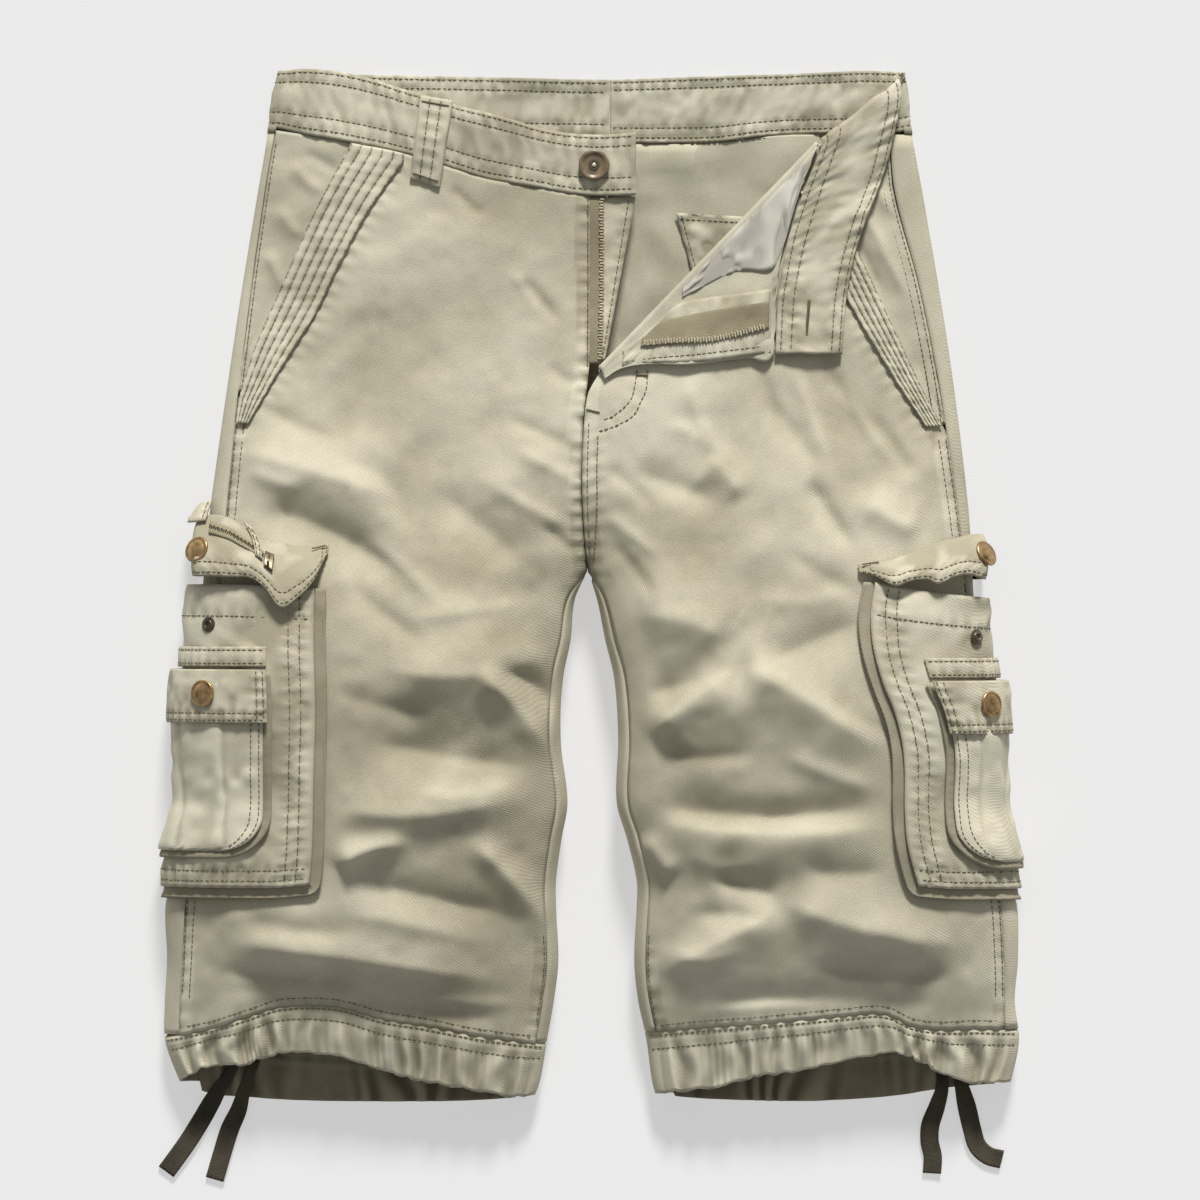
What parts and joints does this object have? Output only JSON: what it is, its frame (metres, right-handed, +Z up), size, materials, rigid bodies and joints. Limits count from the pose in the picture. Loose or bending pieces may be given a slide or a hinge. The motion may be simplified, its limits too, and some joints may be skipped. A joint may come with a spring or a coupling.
{
  "type": "cargo shorts",
  "caption": "Knee-length cargo shorts laid flat face up, one front corner folded back at the open fly, bellows side pockets, and gathered hems with tape ties.",
  "frame": {"origin": "on the surface the shorts lie on, at the middle of the cloth's box (the drawstring tails left out)", "axes": "+X towards the wearer's left, +Y towards the waist, +Z up out of the front"},
  "size_m": [0.5615, 0.7229, 0.0706],
  "materials": {
    "twill": "washed heavy cotton twill",
    "twill_inside": "wrong side of the twill, paler",
    "pocketing": "plain cotton pocketing",
    "zip_tape": "woven zip tape",
    "tape": "flat woven cotton tape, dark",
    "brass": "aged, satin",
    "horn": "horn-like resin"
  },
  "bodies": {
    "root": {"front_right": "twill", "front_left": "twill", "back_right": "twill", "back_left": "twill", "casing_right": "twill", "casing_left": "twill", "waistband_right": "twill", "waistband_left": "twill", "pocket_facing_right": "twill", "pocket_facing_left": "twill", "mouth_band_right": "twill", "mouth_band_left": "twill", "belt_loop": "twill", "fly_underlap": "twill", "cargo_face_right": "twill", "cargo_gusset_right": "twill", "cargo_flap_right": "twill", "small_pocket_right": "twill", "small_gusset_right": "twill", "small_band_right": "twill", "small_flap_right": "twill", "cargo_face_left": "twill", "cargo_gusset_left": "twill", "cargo_flap_left": "twill", "small_pocket_left": "twill", "small_gusset_left": "twill", "small_band_left": "twill", "small_flap_left": "twill", "flap_tab": "twill", "fly_facing": "twill_inside", "back_pocket_bag": "twill_inside", "flap_pull": "twill_inside", "pocket_bag": "pocketing", "zip_tape_right": "zip_tape", "zip_tape_left": "zip_tape", "flap_zip": "zip_tape", "flap_cap_right": "brass", "flap_cap_left": "brass", "small_cap_right": "brass", "small_cap_left": "brass", "snap_socket_right": "brass", "snap_socket_left": "brass", "flap_slider": "brass", "waist_button": "horn", "tail_right_outer": "tape", "tail_right_inner": "tape", "tail_left_inner": "tape", "tail_left_outer": "tape"}
  },
  "joints": []
}
